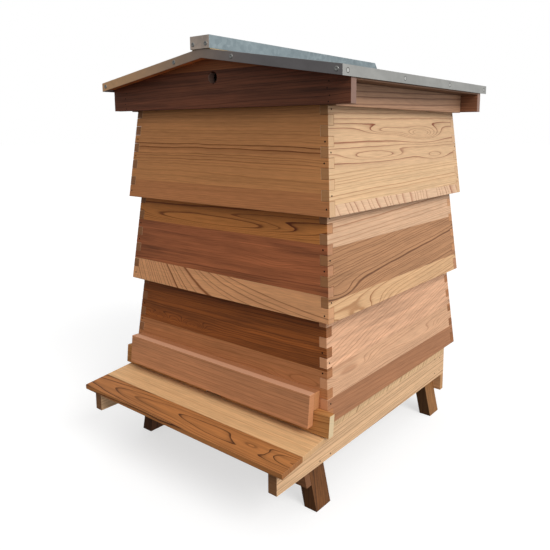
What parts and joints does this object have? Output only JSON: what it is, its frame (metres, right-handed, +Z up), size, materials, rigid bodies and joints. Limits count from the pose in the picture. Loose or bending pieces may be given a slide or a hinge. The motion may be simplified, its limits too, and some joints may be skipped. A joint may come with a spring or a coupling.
{
  "type": "beehive",
  "caption": "Double-walled beehive: splayed stand with alighting board, tapered finger-jointed lifts, porch with entrance slides, vented metal-covered gable roof, brood box with hanging frames.",
  "frame": {"origin": "centre of the hive at ground level, under its feet", "axes": "-Y is the front with the porch and the alighting board, +X is the right-hand side seen from the front, +Z is up"},
  "size_m": [0.64, 0.7142, 0.8767],
  "materials": {
    "cedar_lift_1": "planed red cedar, dark upper plank",
    "cedar_lift_2": "planed red cedar, mixed planks",
    "cedar_lift_3": "planed red cedar, honey",
    "cedar_porch": "planed cedar",
    "cedar_slide": "planed cedar",
    "cedar_alighting_pale": "planed pale cedar",
    "cedar_alighting_brown": "planed cedar, bold grain",
    "cedar_stand": "planed cedar",
    "cedar_leg": "sawn cedar",
    "cedar_roof": "planed cedar, in the shade of the eaves",
    "softwood_batten": "planed softwood",
    "cedar_inner": "planed cedar",
    "frame_wood_and_wax": "lime wood frame with a wax sheet",
    "plywood": "birch plywood",
    "galvanised_sheet": "galvanised",
    "perforated_steel": "galvanised"
  },
  "bodies": {
    "stand": {"alighting_board_front": "cedar_alighting_brown", "alighting_board_rear": "cedar_alighting_pale", "floor_batten_frame": "softwood_batten", "floor_panel": "cedar_stand", "floor_rail_left": "cedar_stand", "floor_rail_right": "cedar_stand", "front_leg_brace": "cedar_leg", "leg_front_left": "cedar_leg", "leg_front_right": "cedar_leg", "leg_rear_left": "cedar_leg", "leg_rear_right": "cedar_leg", "rear_cross_board": "cedar_stand"},
    "lower_lift": {"lift_1_front_wall": "cedar_lift_1", "lift_1_left_wall": "cedar_lift_1", "lift_1_rear_wall": "cedar_lift_1", "lift_1_rest_frame": "softwood_batten", "lift_1_right_wall": "cedar_lift_1", "porch_board": "cedar_porch", "porch_spacer": "cedar_porch"},
    "middle_lift": {"lift_2_front_wall": "cedar_lift_2", "lift_2_left_wall": "cedar_lift_2", "lift_2_rear_wall": "cedar_lift_2", "lift_2_rest_frame": "softwood_batten", "lift_2_right_wall": "cedar_lift_2"},
    "upper_lift": {"lift_3_front_wall": "cedar_lift_3", "lift_3_left_wall": "cedar_lift_3", "lift_3_rear_wall": "cedar_lift_3", "lift_3_rest_frame": "softwood_batten", "lift_3_right_wall": "cedar_lift_3"},
    "roof": {"eave_batten_left": "cedar_roof", "eave_batten_right": "cedar_roof", "gable_front": "cedar_roof", "gable_rear": "cedar_roof", "ridge_block": "softwood_batten", "ridge_cap": "galvanised_sheet", "roof_board_left": "cedar_roof", "roof_board_right": "cedar_roof", "roof_cover_sheet": "galvanised_sheet", "roof_rail_left": "cedar_roof", "roof_rail_right": "cedar_roof", "roof_rest_frame": "softwood_batten", "vent_screen_front": "perforated_steel", "vent_screen_rear": "perforated_steel"},
    "left_slide": {"entrance_slide_left": "cedar_slide"},
    "right_slide": {"entrance_slide_right": "cedar_slide"},
    "brood_box": {"brood_box_front_wall": "cedar_inner", "brood_box_left_wall": "cedar_inner", "brood_box_rear_wall": "cedar_inner", "brood_box_right_wall": "cedar_inner"},
    "brood_frames": {"brood_frame_1": "frame_wood_and_wax", "brood_frame_10": "frame_wood_and_wax", "brood_frame_2": "frame_wood_and_wax", "brood_frame_3": "frame_wood_and_wax", "brood_frame_4": "frame_wood_and_wax", "brood_frame_5": "frame_wood_and_wax", "brood_frame_6": "frame_wood_and_wax", "brood_frame_7": "frame_wood_and_wax", "brood_frame_8": "frame_wood_and_wax", "brood_frame_9": "frame_wood_and_wax"},
    "crown_board": {"crown_board": "plywood"}
  },
  "joints": [
    {"name": "lower_lift_off", "type": "slide", "parent": "stand", "child": "lower_lift", "axis": [0, 0, 1], "range_m": [0, 0.28]},
    {"name": "middle_lift_off", "type": "slide", "parent": "lower_lift", "child": "middle_lift", "axis": [0, 0, 1], "range_m": [0, 0.11]},
    {"name": "upper_lift_off", "type": "slide", "parent": "middle_lift", "child": "upper_lift", "axis": [0, 0, 1], "range_m": [0, 0.06]},
    {"name": "roof_off", "type": "slide", "parent": "upper_lift", "child": "roof", "axis": [0, 0, 1], "range_m": [0, 0.06]},
    {"name": "left_slide_draw", "type": "slide", "parent": "lower_lift", "child": "left_slide", "axis": [-1, 0, 0], "range_m": [-0.02, 0.2]},
    {"name": "right_slide_draw", "type": "slide", "parent": "lower_lift", "child": "right_slide", "axis": [1, 0, 0], "range_m": [-0.02, 0.2]},
    {"name": "brood_box_off", "type": "slide", "parent": "stand", "child": "brood_box", "axis": [0, 0, 1], "range_m": [0, 0.04]},
    {"name": "crown_board_off", "type": "slide", "parent": "brood_box", "child": "crown_board", "axis": [0, 0, 1], "range_m": [0, 0.28]},
    {"name": "brood_frames_out", "type": "slide", "parent": "brood_box", "child": "brood_frames", "axis": [0, 0, 1], "range_m": [0, 0.24]}
  ],
  "couplings": [
    {"joint": "brood_frames_out", "follows": "crown_board_off", "ratio": 0.85}
  ]
}
